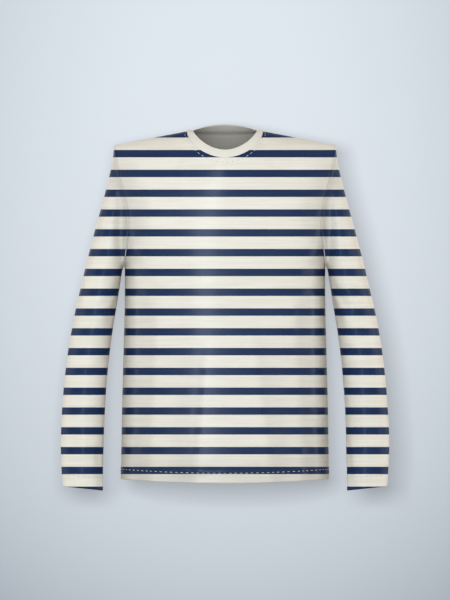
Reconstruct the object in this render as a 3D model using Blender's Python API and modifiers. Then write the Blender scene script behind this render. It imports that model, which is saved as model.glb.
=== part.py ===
"""A long-sleeved breton shirt, filled out as it hangs on a wearer, with nobody in it.

The shirt is cut as a front, a back, two set-in sleeves and a rib neckband. Each is one wall of
cloth: an open surface lofted from its sections, thickened inwards. Sizes are in metres. The front
faces -Y, +X is to the right as one looks at it, and z = 0 is where the shoulders meet the neck.
"""

import math
from collections import namedtuple

import bpy
import numpy as np

# Driving sizes
SHOULDER_BREADTH = 0.4190  # from one armhole seam to the other, over the shoulders
SHOULDER_DROP = 0.0256
UNDERARM_DROP = 0.2528
BODY_LENGTH = 0.6623  # down to the hem at the side seams
FRONT_HEM_DIP = 0.0076  # how much lower the hem hangs in the middle
BACK_HEM_DIP = 0.0040
CHEST_FRONT_DEPTH = 0.116
CHEST_BACK_DEPTH = 0.108
NECK_BREADTH = 0.1466  # at the neckband's seam
FRONT_NECK_DROP = 0.0491
BACK_NECK_DROP = 0.0012

JERSEY = 0.0015  # thickness of the striped jersey
RIB = 0.0022  # thickness of the doubled rib
SEAM_GAP = 0.0003  # between pieces that are sewn together
SEAM_LAP = 0.0020  # straight strip beside each seam

SECTION_POWER = 2.35  # superellipse power of the body's level sections
ARMHOLE_HALF_DEPTH = 0.066
ARMHOLE_BASE = 0.34  # share of the armhole's height that its round base takes
NECK_DOME = 0.026  # height of the closed surface that the neckline is cut from

# Columns and rows of the lofts
SHOULDER_COLUMNS = 13
HALF_NECK_COLUMNS = 8
TRUNK_ROWS = 10
ARMHOLE_BASE_ROWS = 4
YOKE_ROWS = 9
CAP_RINGS = 7
RINGS_PER_SECTION = 2
BAND_RINGS = 3

FRONT, BACK = -1, 1

BodySection = namedtuple("BodySection", "drop half_breadth front_depth back_depth")
BODY_SECTIONS = [
    BodySection(UNDERARM_DROP, 0.1914, CHEST_FRONT_DEPTH, CHEST_BACK_DEPTH),
    BodySection(0.3062, 0.1911, 0.1152, 0.1050),
    BodySection(0.4189, 0.1936, 0.1130, 0.1000),
    BodySection(0.5334, 0.1966, 0.1128, 0.1022),
    BodySection(0.6700, 0.1986, 0.1150, 0.1065),
]

ArmholePoint = namedtuple("ArmholePoint", "drop half_breadth")
ARMHOLE = [
    ArmholePoint(SHOULDER_DROP, SHOULDER_BREADTH / 2),
    ArmholePoint(0.0542, 0.2056),
    ArmholePoint(0.0924, 0.1980),
    ArmholePoint(0.1306, 0.1880),
    ArmholePoint(0.1726, 0.1836),
    ArmholePoint(0.2069, 0.1860),
    ArmholePoint(0.2360, 0.1900),
    ArmholePoint(UNDERARM_DROP, 0.1914),
]

# Each section of a sleeve lies between its inner and its outer edge, as they show from the front.
# A reach is a distance from the shirt's middle, and forward is how far the arm has swung.
SleeveSection = namedtuple("SleeveSection", "inner_drop inner_reach outer_drop outer_reach half_depth forward")
SLEEVE_SECTIONS = [
    SleeveSection(0.2680, 0.1966, 0.1936, 0.2495, 0.0655, 0.000),
    SleeveSection(0.3062, 0.2026, 0.2623, 0.2673, 0.0612, 0.001),
    SleeveSection(0.3558, 0.2108, 0.3291, 0.2829, 0.0570, 0.004),
    SleeveSection(0.4074, 0.2182, 0.3883, 0.2946, 0.0530, 0.008),
    SleeveSection(0.4570, 0.2237, 0.4399, 0.3025, 0.0494, 0.012),
    SleeveSection(0.5067, 0.2277, 0.4914, 0.3081, 0.0458, 0.016),
    SleeveSection(0.5563, 0.2302, 0.5420, 0.3117, 0.0424, 0.020),
    SleeveSection(0.6059, 0.2318, 0.5935, 0.3135, 0.0390, 0.023),
    SleeveSection(0.6499, 0.2330, 0.6384, 0.3122, 0.0362, 0.025),
    SleeveSection(0.6833, 0.2333, 0.6728, 0.3093, 0.0342, 0.026),
]

# The free edge of the neckband: its own half breadth and heights, and its depth beside the seam's.
BAND_HALF_BREADTH = 0.0620
BAND_SIDE_HEIGHT = 0.0021
BAND_FRONT_HEIGHT = -0.0349
BAND_BACK_HEIGHT = 0.0124
BAND_FRONT_DEPTH_SHARE = 0.910
BAND_BACK_DEPTH_SHARE = 0.850

# The longest folds fall to the hem. Each starts at a reach from the middle, and its trough is one
# width further out.
Fold = namedtuple("Fold", "panel side top_drop top_reach hem_reach width depth")
FOLDS = [
    Fold(FRONT, -1, 0.275, 0.1155, 0.1308, 0.020, 0.0052),
    Fold(FRONT, -1, 0.375, 0.0190, 0.0458, 0.021, 0.0058),
    Fold(FRONT, 1, 0.370, 0.0380, 0.0725, 0.021, 0.0058),
    Fold(FRONT, 1, 0.280, 0.1155, 0.1346, 0.020, 0.0052),
    Fold(BACK, -1, 0.300, 0.1060, 0.1200, 0.022, 0.0056),
    Fold(BACK, -1, 0.350, 0.0260, 0.0440, 0.022, 0.0062),
    Fold(BACK, 1, 0.395, 0.0400, 0.0620, 0.020, 0.0056),
    Fold(BACK, 1, 0.290, 0.1100, 0.1250, 0.021, 0.0056),
]
FOLD_ONSET = 0.22  # height over which a fold grows to its full depth


def smooth(rows, wanted, column, by="drop"):
    """The column's value at a wanted value of another one, on a smooth curve through the rows."""
    at = np.array([getattr(row, by) for row in rows])
    value = np.array([getattr(row, column) for row in rows])
    slope = np.gradient(value, at)
    k = np.clip(np.searchsorted(at, wanted) - 1, 0, len(at) - 2)
    span = at[k + 1] - at[k]
    s = np.clip((wanted - at[k]) / span, 0, 1)
    return hermite(value[k], slope[k] * span, value[k + 1], slope[k + 1] * span, s)


def hermite(start, leaving, end, arriving, s):
    return (
        start * (2 * s**3 - 3 * s**2 + 1)
        + leaving * (s**3 - 2 * s**2 + s)
        + end * (3 * s**2 - 2 * s**3)
        + arriving * (s**3 - s**2)
    )


def smoothstep(s):
    s = np.clip(s, 0, 1)
    return s * s * (3 - 2 * s)


def rounded(share, power, end_power=None):
    """1 in the middle and 0 at a share of 1, on a superellipse or one with its own end power."""
    return np.clip(1 - np.abs(share) ** power, 0, 1) ** (end_power or 1 / power)


def unit(vector):
    return vector / np.linalg.norm(vector, axis=-1, keepdims=True)


def ridge_height(x):
    """The line over the shoulders, carried on across the neck as a low dome."""
    slope = SHOULDER_DROP / (SHOULDER_BREADTH / 2 - NECK_BREADTH / 2)
    inside = np.abs(x) / (NECK_BREADTH / 2)
    dome = hermite(NECK_DOME, 0.0, 0.0, -slope * NECK_BREADTH / 2, np.clip(inside, 0, 1))
    return np.where(inside < 1, dome, -slope * (np.abs(x) - NECK_BREADTH / 2))


def top_height(panel, x):
    """The panel's top edge: its neckline, with a shoulder seam on either side."""
    drop = FRONT_NECK_DROP if panel == FRONT else BACK_NECK_DROP
    share = x / (NECK_BREADTH / 2)
    return np.where(np.abs(share) < 1, -drop * rounded(share, 1.9, 0.63), ridge_height(x))


def fold_depth(panel, x, z):
    """How far the folds draw the panel in."""
    drawn = np.zeros(np.broadcast(x, z).shape)
    for fold in FOLDS:
        if fold.panel != panel:
            continue
        fall = np.clip((-z - fold.top_drop) / (BODY_LENGTH - fold.top_drop), 0, 1)
        start = fold.top_reach + (fold.hem_reach - fold.top_reach) * fall
        s = np.clip((fold.side * x - start) / fold.width, 0, None)
        growth = smoothstep((-z - fold.top_drop) / FOLD_ONSET)
        drawn = drawn + fold.depth * growth * s * np.exp(1 - s) * smoothstep(s * 2)
    return drawn


def trunk(panel, share, fall):
    """The panel from the underarm, where fall is 0, to the hem, where it is 1."""
    dip = FRONT_HEM_DIP if panel == FRONT else BACK_HEM_DIP
    drop = UNDERARM_DROP + (BODY_LENGTH + dip * (1 - share**2) - UNDERARM_DROP) * fall
    x = share * smooth(BODY_SECTIONS, drop, "half_breadth")
    bulge = rounded(share, SECTION_POWER)
    y = smooth(BODY_SECTIONS, drop, "front_depth" if panel == FRONT else "back_depth") * bulge
    return x, y - fold_depth(panel, x, -drop) * smoothstep(bulge), -drop


def yoke(panel, share, climb):
    """The panel from the underarm, where climb is 0, to its top edge, where it is 1."""
    depth = CHEST_FRONT_DEPTH if panel == FRONT else CHEST_BACK_DEPTH
    drop = UNDERARM_DROP - climb * (UNDERARM_DROP - SHOULDER_DROP)
    half_breadth = smooth(ARMHOLE, drop, "half_breadth")
    x = share * half_breadth
    z = climb * (top_height(panel, share * SHOULDER_BREADTH / 2) + UNDERARM_DROP) - UNDERARM_DROP
    base = np.clip(climb / ARMHOLE_BASE, 0, 1)
    armhole_depth = ARMHOLE_HALF_DEPTH * np.sqrt(1 - (1 - base) ** 2)
    full_breadth = half_breadth / rounded(armhole_depth / depth, SECTION_POWER)
    rise = np.clip((z + UNDERARM_DROP) / (ridge_height(x) + UNDERARM_DROP), 0, 1)
    return x, depth * rounded(x / full_breadth, SECTION_POWER) * np.sqrt(1 - rise**2), z


def panel_points(panel, share, level):
    """Points of the front or the back. The level is -1 at the hem, 0 at the underarm and 1 on top."""
    share, level = np.broadcast_arrays(share, level)
    low = trunk(panel, share, np.clip(-level, 0, 1))
    high = yoke(panel, share, np.clip(level, 0, 1))
    x, y, z = (np.where(level > 0, up, down) for up, down in zip(high, low))
    return np.stack([x, panel * (y + SEAM_GAP / 2), z], axis=-1)


def path_length(points):
    """Distances along a finely divided line of points."""
    return np.concatenate([[0], np.cumsum(np.linalg.norm(np.diff(points, axis=0), axis=-1))])


def side_shares(panel, level):
    """Places along a row from the side edge to the neck, with a seam lap first and then even steps."""
    share = 1 - (1 - NECK_BREADTH / SHOULDER_BREADTH) * np.linspace(0, 1, 900) ** 4
    length = path_length(panel_points(panel, share, level))
    steps = np.linspace(SEAM_LAP, length[-1], SHOULDER_COLUMNS)
    return np.interp(np.concatenate([[0], steps[:-1]]), length, share)


def lap_share(panel, level):
    return side_shares(panel, level)[1]


def lap_level(panel, share):
    """The level one seam lap below the top edge."""
    level = 1 - 0.3 * np.linspace(0, 1, 900) ** 4
    return np.interp(SEAM_LAP, path_length(panel_points(panel, share, level)), level)


def neck_shares():
    """Places across the neckline from one end to the middle, closest at the end."""
    angle = np.linspace(0, math.pi / 2, HALF_NECK_COLUMNS + 1)
    share = np.cos(angle) * NECK_BREADTH / SHOULDER_BREADTH
    share[-1] = 0.0
    return share


def climbs():
    """Levels over the underarm, closest where the armhole turns most."""
    base = [1 - math.cos(math.pi / 2 * k / ARMHOLE_BASE_ROWS) for k in range(1, ARMHOLE_BASE_ROWS + 1)]
    start = math.asin(ARMHOLE_BASE)
    upper = [math.sin(start + (math.pi / 2 - start) * k / YOKE_ROWS) for k in range(1, YOKE_ROWS)]
    return [ARMHOLE_BASE * b for b in base] + upper + [float(lap_level(FRONT, 1.0)), 1.0]


def panel_grid(panel):
    """The front or the back as rows of points from the hem up, each from +X to -X."""
    levels = list(np.linspace(-1, 0, TRUNK_ROWS + 1)) + climbs()
    rows = []
    for level in levels:
        right = np.concatenate([side_shares(panel, level), neck_shares()])
        share = np.concatenate([right, -right[-2::-1]])
        row_levels = np.full(len(share), level)
        if level == levels[-2]:
            row_levels = np.array([lap_level(panel, abs(s)) for s in share])
        rows.append(panel_points(panel, share, row_levels))
    return np.array(rows)


def armhole_line(share):
    """Points up the front's armhole edge and down the back's, or a little inside that edge."""
    levels = [0.0] + climbs()
    front = [panel_points(FRONT, share(FRONT, level), level) for level in levels]
    back = [panel_points(BACK, share(BACK, level), level) for level in levels[-2:0:-1]]
    line = np.array(front + back)
    line[0, 1] = line[len(levels) - 1, 1] = 0.0
    return line


def section_ring(section, angle):
    """A sleeve's section as a ring that starts at its inner edge and goes round by the front."""
    across = (1 - np.cos(angle)) / 2
    x = section.inner_reach + (section.outer_reach - section.inner_reach) * across
    z = -section.inner_drop + (section.inner_drop - section.outer_drop) * across
    y = -section.half_depth * np.sin(angle) - section.forward
    return np.stack([x, y, z], axis=-1)


def arm_sections():
    """The sleeve's sections with more between them."""
    last = len(SLEEVE_SECTIONS) - 1
    placed = namedtuple("Placed", ("place",) + SleeveSection._fields)
    table = [placed(place, *section) for place, section in enumerate(SLEEVE_SECTIONS)]
    for place in np.linspace(0, last, last * RINGS_PER_SECTION + 1):
        yield SleeveSection(*(float(smooth(table, place, name, by="place")) for name in SleeveSection._fields))


def sleeve_grid():
    """The right sleeve as rings from its armhole seam down to the cuff."""
    seam = armhole_line(lambda panel, level: 1.0)
    inside = armhole_line(lap_share)
    count = len(seam)
    angle = np.arange(count) * 2 * math.pi / count
    first, second = section_ring(SLEEVE_SECTIONS[0], angle), section_ring(SLEEVE_SECTIONS[1], angle)
    down = unit(second - first)
    climb = np.array([0.0] + climbs() + climbs()[-2::-1])[:, None]
    # High on the armhole the sleeve carries on the body's surface; at the underarm it folds down.
    follow = smoothstep((climb - 0.04) / 0.40)
    start = unit(follow * unit(seam - inside) + (1 - follow) * (down + np.array([0.35, 0, 0])))
    seam = seam + start * SEAM_GAP + (1 - follow) * np.array([SEAM_GAP, 0, 0])
    lap = seam + start * SEAM_LAP
    # Over the shoulder it turns straight down.
    turn = smoothstep((climb - 0.25) / 0.65)
    leaving = unit((1 - turn) * start + turn * np.array([0, 0, -1.0]))
    reach = np.linalg.norm(first - lap, axis=-1, keepdims=True)
    rings = [seam, lap]
    for k in range(1, CAP_RINGS):
        rings.append(hermite(lap, leaving * reach * 0.65, first, down * reach, (k / CAP_RINGS) ** 1.25))
    for section in arm_sections():
        rings.append(section_ring(section, angle))
    return np.array(rings)


def neckline_ring(level):
    """The neckline of the front and then of the back, as a ring, or a line a little under it."""
    half = neck_shares()
    across = np.concatenate([half, -half[-2::-1]])
    front = panel_points(FRONT, across, level)
    back = panel_points(BACK, across[-2:0:-1], level)
    ring = np.concatenate([front, back])
    ring[0, 1] = ring[len(across) - 1, 1] = 0.0
    return ring, np.concatenate([across, across[-2:0:-1]]) / half[0]


def neckband_grid():
    """The neckband as rings from its seam up to its free edge."""
    seam, share = neckline_ring(1.0)
    under, _ = neckline_ring(1 - 1e-5)
    in_front = seam[:, 1] < 0
    along = unit(np.roll(seam, -1, axis=0) - np.roll(seam, 1, axis=0))
    outward = unit(np.cross(seam - under, along))
    slope = SHOULDER_DROP / (SHOULDER_BREADTH / 2 - NECK_BREADTH / 2)
    for end in np.flatnonzero(np.abs(share) > 1 - 1e-9):
        outward[end] = unit(np.array([slope * share[end], 0, 1.0]))
    height = np.where(in_front, BAND_FRONT_HEIGHT, BAND_BACK_HEIGHT)
    depth = np.where(in_front, BAND_FRONT_DEPTH_SHARE, BAND_BACK_DEPTH_SHARE)
    edge = np.stack([
        share * BAND_HALF_BREADTH,
        seam[:, 1] * depth,
        BAND_SIDE_HEIGHT + (height - BAND_SIDE_HEIGHT) * rounded(share, 1.9, 0.78),
    ], axis=-1)
    onward = unit(np.cross(outward, along))
    onward *= np.sign(np.sum(onward * (edge - seam), axis=-1, keepdims=True))
    first = seam + onward * SEAM_GAP
    second = first + onward * SEAM_LAP
    bend = second + onward * np.linalg.norm(edge - second, axis=-1, keepdims=True) * 0.45
    rings = [first, second]
    for k in range(1, BAND_RINGS + 1):
        s = k / BAND_RINGS
        rings.append(second * (1 - s) ** 2 + bend * 2 * s * (1 - s) + edge * s**2)
    return np.array(rings)


def clear_scene():
    for old in list(bpy.data.objects):
        bpy.data.objects.remove(old)


def cloth_material(name, colour, roughness):
    material = bpy.data.materials.new(name)
    material.use_nodes = True
    shader = material.node_tree.nodes["Principled BSDF"]
    shader.inputs["Base Color"].default_value = (*colour, 1.0)
    shader.inputs["Roughness"].default_value = roughness
    shader.inputs["Metallic"].default_value = 0.0
    return material


def surface_mesh(name, grid, closed, faces_in):
    """A mesh over a grid of points, with a sharp border. Closed joins its last column to its first."""
    rows, columns = grid.shape[:2]
    number = np.arange(rows * columns).reshape(rows, columns)
    if closed:
        number = np.concatenate([number, number[:, :1]], axis=1)
    corners = [number[:-1, :-1], number[:-1, 1:], number[1:, 1:], number[1:, :-1]]
    if faces_in:
        corners.reverse()
    faces = np.stack(corners, axis=-1).reshape(-1, 4)
    mesh = bpy.data.meshes.new(name)
    mesh.from_pydata(grid.reshape(-1, 3).tolist(), [], faces.tolist())
    mesh.shade_smooth()
    uses = {}
    for face in mesh.polygons:
        for key in face.edge_keys:
            uses[key] = uses.get(key, 0) + 1
    for edge in mesh.edges:
        edge.use_edge_sharp = uses[edge.key] == 1
    return mesh


def cloth_wall(collection, name, grid, closed, faces_in, thickness, material):
    """A piece of cloth from the grid of its outer surface, thickened inwards."""
    piece = bpy.data.objects.new(name, surface_mesh(name, grid, closed, faces_in))
    collection.objects.link(piece)
    piece.data.materials.append(material)
    thicken = piece.modifiers.new("Cloth", "SOLIDIFY")
    thicken.thickness = thickness
    thicken.offset = -1.0
    thicken.use_quality_normals = True
    return piece


def build_shirt():
    shirt = bpy.data.collections.new("breton_shirt")
    bpy.context.scene.collection.children.link(shirt)
    jersey = cloth_material("striped_jersey", (0.80, 0.77, 0.68), 0.75)
    rib = cloth_material("cream_rib", (0.82, 0.78, 0.68), 0.80)
    sleeve = sleeve_grid()
    mirrored = sleeve * np.array([-1.0, 1.0, 1.0])
    cloth_wall(shirt, "front", panel_grid(FRONT), False, True, JERSEY, jersey)
    cloth_wall(shirt, "back", panel_grid(BACK), False, False, JERSEY, jersey)
    cloth_wall(shirt, "sleeve_right", sleeve, True, True, JERSEY, jersey)
    cloth_wall(shirt, "sleeve_left", mirrored, True, False, JERSEY, jersey)
    cloth_wall(shirt, "neckband", neckband_grid(), True, True, RIB, rib)


clear_scene()
build_shirt()
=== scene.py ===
import math

import bmesh
import bpy
import numpy as np
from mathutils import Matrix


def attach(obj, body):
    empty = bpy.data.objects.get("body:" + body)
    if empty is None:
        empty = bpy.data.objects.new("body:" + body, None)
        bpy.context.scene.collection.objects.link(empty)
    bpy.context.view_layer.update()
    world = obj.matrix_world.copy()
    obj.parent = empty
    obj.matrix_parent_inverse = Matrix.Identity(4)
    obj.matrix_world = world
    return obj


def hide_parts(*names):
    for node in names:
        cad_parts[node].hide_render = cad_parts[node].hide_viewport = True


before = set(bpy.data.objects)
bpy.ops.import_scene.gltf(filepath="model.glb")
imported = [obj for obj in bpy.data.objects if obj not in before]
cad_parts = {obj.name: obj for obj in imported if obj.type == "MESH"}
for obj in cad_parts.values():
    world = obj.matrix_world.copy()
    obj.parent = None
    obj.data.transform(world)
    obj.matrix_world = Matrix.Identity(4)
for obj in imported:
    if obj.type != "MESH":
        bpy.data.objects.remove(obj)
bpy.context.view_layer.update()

print("frame loaded:", ", ".join(sorted(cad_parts)))

frontSide, backSide = -1, 1  # the way each panel faces along Y

# the shirt's cut, in metres: z is 0 where the shoulders meet the neck
shirt = {
    "shoulderBreadth": 0.4190,
    "shoulderDrop": 0.0256,
    "underarmDrop": 0.2528,
    "bodyLength": 0.6623,
    "hemDip": {frontSide: 0.0076, backSide: 0.0040},
    "chestDepth": {frontSide: 0.116, backSide: 0.108},
    "neckBreadth": 0.1466,
    "neckDrop": {frontSide: 0.0491, backSide: 0.0012},
    "neckDome": 0.026,
    "sectionPower": 2.35,
    "armholeHalfDepth": 0.066,
    "armholeBase": 0.34,
    "jersey": 0.0015,
    "rib": 0.0022,
    "seamGap": 0.0003,
    "seamLap": 0.0020,
    "foldOnset": 0.11,
}

bodySections = {
    "drop": [0.2528, 0.3062, 0.4189, 0.5334, 0.6700],
    "halfBreadth": [0.1914, 0.1911, 0.1936, 0.1966, 0.1986],
    frontSide: [0.1160, 0.1152, 0.1130, 0.1128, 0.1150],
    backSide: [0.1080, 0.1050, 0.1000, 0.1022, 0.1065],
}

armholeEdge = {
    "drop": [0.0256, 0.0542, 0.0924, 0.1306, 0.1726, 0.2069, 0.2360, 0.2528],
    "halfBreadth": [0.2095, 0.2056, 0.1980, 0.1880, 0.1836, 0.1860, 0.1900, 0.1914],
}

sleeve = {
    "girth": 0.27,  # what its creases take as its whole way round
    "cuffRun": 0.034,  # from the last section but one to the cuff's edge
    "underarmLean": 0.35,  # how far the seam's underarm turns outwards
    "capPull": 0.65,
    "capSpacing": 1.25,
}

# a sleeve's sections from the armhole to the cuff; forward is how far the arm has swung
sleeveSections = {
    "innerDrop": [0.2680, 0.3062, 0.3558, 0.4074, 0.4570, 0.5067, 0.5563, 0.6059, 0.6499, 0.6840],
    "innerReach": [0.1966, 0.2026, 0.2108, 0.2182, 0.2237, 0.2277, 0.2302, 0.2318, 0.2330, 0.2333],
    "outerDrop": [0.1936, 0.2623, 0.3291, 0.3883, 0.4399, 0.4914, 0.5420, 0.5935, 0.6394, 0.6762],
    "outerReach": [0.2495, 0.2673, 0.2829, 0.2946, 0.3025, 0.3081, 0.3117, 0.3135, 0.3122, 0.3093],
    "halfDepth": [0.0655, 0.0612, 0.0570, 0.0530, 0.0494, 0.0458, 0.0424, 0.0390, 0.0362, 0.0342],
    "forward": [0.000, 0.001, 0.004, 0.008, 0.012, 0.016, 0.020, 0.023, 0.025, 0.026],
}

# the long folds that the solids have too: side, top drop, top reach, hem reach, width, depth
hangingFolds = {
    frontSide: [
        (-1, 0.275, 0.1165, 0.133, 0.02, 0.0031),
        (-1, 0.36, 0.0205, 0.0475, 0.022, 0.001),
        (1, 0.355, 0.0395, 0.079, 0.021, 0.0036),
        (1, 0.28, 0.1205, 0.139, 0.02, 0.0032),
    ],
    backSide: [
        (-1, 0.3, 0.106, 0.12, 0.022, 0.0056),
        (-1, 0.35, 0.026, 0.044, 0.022, 0.0062),
        (1, 0.395, 0.04, 0.062, 0.02, 0.0056),
        (1, 0.29, 0.11, 0.125, 0.021, 0.0056),
    ],
}

neckband = {
    "halfBreadth": 0.0620,
    "sideHeight": 0.0021,
    "height": {frontSide: -0.0349, backSide: 0.0124},
    "depthShare": {frontSide: 0.910, backSide: 0.850},
    "rings": 16,
    "crown": 0.0004,  # how far the band's middle stands out
    "innerReach": 0.0046,  # its inner layer covers its seam
}


def hermite(start, leaving, end, arriving, s):
    return (
        start * (2 * s**3 - 3 * s**2 + 1) + leaving * (s**3 - 2 * s**2 + s)
        + end * (3 * s**2 - 2 * s**3) + arriving * (s**3 - s**2)
    )


def smoothTable(at, values, wanted):
    # a smooth curve through a table's rows
    at, values = np.array(at, float), np.array(values, float)
    slope = np.gradient(values, at)
    k = np.clip(np.searchsorted(at, wanted) - 1, 0, len(at) - 2)
    span = at[k + 1] - at[k]
    s = np.clip((wanted - at[k]) / span, 0, 1)
    return hermite(values[k], slope[k] * span, values[k + 1], slope[k + 1] * span, s)


def smoothstep(s):
    s = np.clip(s, 0, 1)
    return s * s * (3 - 2 * s)


def rounded(share, power, endPower=None):
    # 1 in the middle and 0 at a share of 1
    return np.clip(1 - np.abs(share) ** power, 0, 1) ** (endPower or 1 / power)


def unit(vector):
    return vector / np.maximum(np.linalg.norm(vector, axis=-1, keepdims=True), 1e-12)


def wobble(t, seed):
    # an uneven wave that never repeats, from -1 to 1
    return (0.46 * np.sin(t + seed) + 0.32 * np.sin(1.73 * t + 2.3 * seed + 1.1)
            + 0.22 * np.sin(2.91 * t + 4.1 * seed + 0.4))


def pathLength(points):
    # how far each point of a line is from its first one, or of a grid from its first row
    step = np.linalg.norm(np.diff(points, axis=0), axis=-1)
    return np.concatenate([np.zeros_like(step[:1]), np.cumsum(step, axis=0)])


def lineAt(grid, distance):
    # the line at a distance from a grid's first row
    length = pathLength(grid)
    return np.array([[np.interp(distance, length[:, c], grid[:, c, axis]) for axis in range(3)]
                     for c in range(grid.shape[1])])


def closedLine(ring):
    return np.concatenate([ring, ring[:1]])


shoulderSlope = shirt["shoulderDrop"] / (shirt["shoulderBreadth"] / 2 - shirt["neckBreadth"] / 2)


def ridgeHeight(x):
    # the line over the shoulders, carried on across the neck as a low dome
    inside = np.abs(x) / (shirt["neckBreadth"] / 2)
    dome = hermite(shirt["neckDome"], 0.0, 0.0, -shoulderSlope * shirt["neckBreadth"] / 2,
                   np.clip(inside, 0, 1))
    return np.where(inside < 1, dome, -shoulderSlope * (np.abs(x) - shirt["neckBreadth"] / 2))


def topHeight(panel, x):
    share = x / (shirt["neckBreadth"] / 2)
    return np.where(np.abs(share) < 1, -shirt["neckDrop"][panel] * rounded(share, 1.9, 0.63), ridgeHeight(x))


def foldDepth(panel, x, z, allAs=None):
    drawn = np.zeros(np.broadcast(x, z).shape)
    for side, topDrop, topReach, hemReach, width, depth in hangingFolds[panel]:
        fall = np.clip((-z - topDrop) / (shirt["bodyLength"] - topDrop), 0, 1)
        s = np.clip((side * x - topReach - (hemReach - topReach) * fall) / width, 0, None)
        growth = smoothstep((-z - topDrop) / shirt["foldOnset"])
        drawn = drawn + (allAs or depth) * growth * s * np.exp(1 - s) * smoothstep(s)
    return drawn


def trunkPart(panel, share, fall):
    # from the underarm, where fall is 0, to the hem
    lowest = shirt["bodyLength"] + shirt["hemDip"][panel] * (1 - share**2)
    drop = shirt["underarmDrop"] + (lowest - shirt["underarmDrop"]) * fall
    x = share * smoothTable(bodySections["drop"], bodySections["halfBreadth"], drop)
    bulge = rounded(share, shirt["sectionPower"])
    y = smoothTable(bodySections["drop"], bodySections[panel], drop) * bulge
    return x, y - foldDepth(panel, x, -drop) * smoothstep(bulge), -drop


def yokePart(panel, share, climb):
    # from the underarm, where climb is 0, up to the shoulder seam and the neckline
    depth, under = shirt["chestDepth"][panel], shirt["underarmDrop"]
    drop = under - climb * (under - shirt["shoulderDrop"])
    halfBreadth = smoothTable(armholeEdge["drop"], armholeEdge["halfBreadth"], drop)
    x = share * halfBreadth
    z = climb * (topHeight(panel, share * shirt["shoulderBreadth"] / 2) + under) - under
    base = np.clip(climb / shirt["armholeBase"], 0, 1)
    armholeDepth = shirt["armholeHalfDepth"] * np.sqrt(1 - (1 - base) ** 2)
    fullBreadth = halfBreadth / rounded(armholeDepth / depth, shirt["sectionPower"])
    rise = np.clip((z + under) / (ridgeHeight(x) + under), 0, 1)
    return x, depth * rounded(x / fullBreadth, shirt["sectionPower"]) * np.sqrt(1 - rise**2), z


def panelPoints(panel, share, level):
    # the level is -1 at the hem, 0 at the underarm and 1 on top
    share, level = np.broadcast_arrays(share, level)
    low = trunkPart(panel, share, np.clip(-level, 0, 1))
    high = yokePart(panel, share, np.clip(level, 0, 1))
    x, y, z = (np.where(level > 0, up, down) for up, down in zip(high, low))
    return np.stack([x, panel * (y + shirt["seamGap"] / 2), z], axis=-1)


# how finely the cloth is divided
edgeSteps = [0.0, 0.0006, 0.0014, 0.0030, 0.0055, 0.0090, 0.0130]
weave = {
    "seamSteps": [0.0, 0.0007, 0.0014, 0.0022, 0.0032, 0.0046, 0.0064, 0.0088],
    "hemSteps": edgeSteps + [0.0160, 0.0168, 0.0174, 0.0178, 0.0182, 0.0188, 0.0196, 0.0202, 0.0208, 0.0230],
    "cuffSteps": edgeSteps + [0.0170, 0.0204, 0.0212, 0.0216, 0.0220, 0.0226, 0.0240, 0.0246, 0.0252, 0.0275],
    "sideColumns": 38,
    "neckColumns": 24,
    "trunkRows": 96,
    "armholeBaseRows": 14,
    "yokeRows": 60,
    "ringDivisions": 5,
    "capRings": 26,
    "ringsPerSection": 11,
}
coarse = {"ring": 28, "baseRows": 4, "yokeRows": 9, "capRings": 7}  # the solids' own rows on the armhole


def sideShares(panel, level, steps, evenColumns):
    # places along a row from its side edge to the neck: the seam's steps, then even ones
    share = 1 - (1 - shirt["neckBreadth"] / shirt["shoulderBreadth"]) * np.linspace(0, 1, 900) ** 4
    length = pathLength(panelPoints(panel, share, level))
    even = np.linspace(steps[-1], length[-1], evenColumns + 1)[1:-1]
    return np.interp(np.concatenate([steps, even]), length, share)


def neckShares(count):
    share = np.cos(np.linspace(0, math.pi / 2, count + 1)) * shirt["neckBreadth"] / shirt["shoulderBreadth"]
    share[-1] = 0.0
    return share


def panelGrid(panel):
    # rows from the hem up, each from +X to -X
    tall = shirt["bodyLength"] - shirt["underarmDrop"]
    hem = -1 + np.array(weave["hemSteps"]) / tall
    trunk = np.linspace(hem[-1], 0, weave["trunkRows"] + 1)[1:]
    base = shirt["armholeBase"] * (1 - np.cos(np.linspace(0, math.pi / 2, weave["armholeBaseRows"] + 1)[1:]))
    top = np.linspace(math.asin(shirt["armholeBase"]), math.pi / 2 - 0.016, weave["yokeRows"])[1:]
    yoke = np.sin(np.concatenate([top, math.pi / 2 - np.array([0.010, 0.005, 0.002, 0.0])]))
    neck = neckShares(weave["neckColumns"])
    rows = []
    for level in np.concatenate([hem, trunk, base, yoke]):
        right = np.concatenate([sideShares(panel, level, weave["seamSteps"], weave["sideColumns"]), neck])
        rows.append(panelPoints(panel, np.concatenate([right, -right[-2::-1]]), level))
    return np.array(rows)


def armholeClimb(index):
    # how high a step round the armhole lies, 0 at the underarm and 1 at the shoulder
    start = math.asin(shirt["armholeBase"])
    knots = [start + (math.pi / 2 - start) * k / coarse["yokeRows"] for k in range(coarse["yokeRows"])]
    level = 1 - 0.3 * np.linspace(0, 1, 900) ** 4
    lap = np.interp(shirt["seamLap"], pathLength(panelPoints(frontSide, 1.0, level)), level)
    knots += [math.asin(lap), math.pi / 2]
    half = coarse["ring"] / 2
    index = np.where(index > half, 2 * half - index, index)
    first = coarse["baseRows"]
    angle = np.interp(index, np.arange(len(knots)) + first, knots)
    low = shirt["armholeBase"] * (1 - np.cos(math.pi / 2 * np.clip(index / first, 0, 1)))
    return np.where(index < first, low, np.sin(angle))


def armholeLine(index, distance):
    # points round the armhole from the underarm up the front and down the back, or inside its edge
    climb = armholeClimb(index)
    half = coarse["ring"] / 2
    line = []
    for i, level in zip(index, climb):
        panel = frontSide if i <= half else backSide
        share = 1.0 if distance == 0 else sideShares(panel, level, [0.0, distance], 2)[1]
        line.append(panelPoints(panel, share, level))
    line = np.array(line)
    line[(index == 0) | (index == half), 1] = 0.0
    return line, climb[:, None]


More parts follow.
